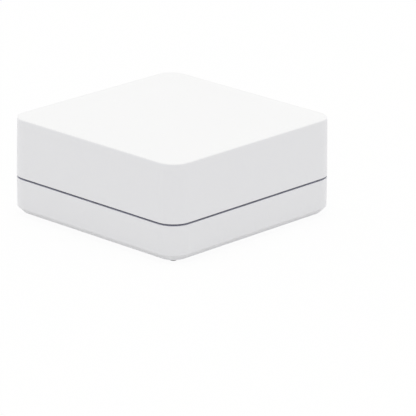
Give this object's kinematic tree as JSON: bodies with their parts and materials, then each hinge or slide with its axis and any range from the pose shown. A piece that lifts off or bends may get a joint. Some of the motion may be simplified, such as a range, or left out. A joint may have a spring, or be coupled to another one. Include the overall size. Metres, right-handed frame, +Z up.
{
  "type": "smart lighting hub",
  "caption": "Square tabletop hub in a split plastic case, with an Ethernet socket, USB power socket, status light and sprung pairing button on its rear wall.",
  "frame": {"origin": "under the middle of the case, on the surface that the feet stand on", "axes": "+Z up; +Y towards the rear wall with the sockets; +X to the right seen from the front"},
  "size_m": [0.07, 0.07, 0.0305],
  "materials": {
    "case_white": "fine moulded texture, white",
    "foot_rubber": "matt dark grey",
    "label_film": "satin silver-grey film, bare",
    "screw_steel": "black zinc",
    "board_mask": "green solder mask over glass-fibre board",
    "jack_shield_tin": "bright tinned sheet",
    "jack_plastic": "black moulded plastic",
    "contact_gilt": "gilt spring wire",
    "lamp_window": "clear to milky light window",
    "usb_steel": "nickel-plated sheet",
    "usb_plastic": "black moulded plastic",
    "button_plastic": "light grey moulded plastic",
    "switch_plastic": "black moulded plastic",
    "switch_steel": "stamped sheet",
    "plunger_plastic": "white moulded plastic",
    "light_pipe_clear": "polished clear rod",
    "led_package": "milky lamp package",
    "chip_epoxy": "black moulded epoxy",
    "crystal_can": "plated metal lid",
    "inductor_ferrite": "dark grey ferrite",
    "capacitor_can": "satin aluminium can",
    "ceramic_tan": "tan ceramic with tinned ends",
    "resistor_black": "black glaze with tinned ends",
    "radio_shield_tin": "bright tinned sheet",
    "coil_copper": "enamelled copper wire"
  },
  "bodies": {
    "hub": {"top_cover": "case_white", "base_shell": "case_white", "foot_front_left": "foot_rubber", "foot_front_right": "foot_rubber", "foot_rear_left": "foot_rubber", "foot_rear_right": "foot_rubber", "blank_label": "label_film", "case_screws": "screw_steel", "main_board": "board_mask", "ethernet_jack_shield": "jack_shield_tin", "ethernet_jack_body": "jack_plastic", "ethernet_jack_contacts": "contact_gilt", "ethernet_jack_lamps": "lamp_window", "usb_socket_shell": "usb_steel", "usb_socket_tongue": "usb_plastic", "usb_socket_contacts": "contact_gilt", "switch_dome": "switch_steel", "switch_body": "switch_plastic", "switch_cover_plate": "switch_steel", "status_light_pipe": "light_pipe_clear", "status_led": "led_package", "processor_chip": "chip_epoxy", "memory_chip": "chip_epoxy", "flash_chip": "chip_epoxy", "network_chip": "chip_epoxy", "power_regulator_chip": "chip_epoxy", "clock_crystal": "crystal_can", "power_inductor": "inductor_ferrite", "bulk_capacitors": "capacitor_can", "ceramic_capacitors": "ceramic_tan", "chip_resistors": "resistor_black", "radio_chips": "chip_epoxy", "radio_shield_frame": "radio_shield_tin", "radio_shield_lid": "radio_shield_tin", "antenna_coil": "coil_copper"},
    "button": {"pairing_button": "button_plastic", "switch_plunger": "plunger_plastic"}
  },
  "joints": [
    {"name": "button_press", "type": "slide", "parent": "hub", "child": "button", "axis": [0, -1, 0], "range_m": [0, 0.0003], "stiffness_N_per_m": 6000, "deforming": ["switch_dome"]}
  ]
}
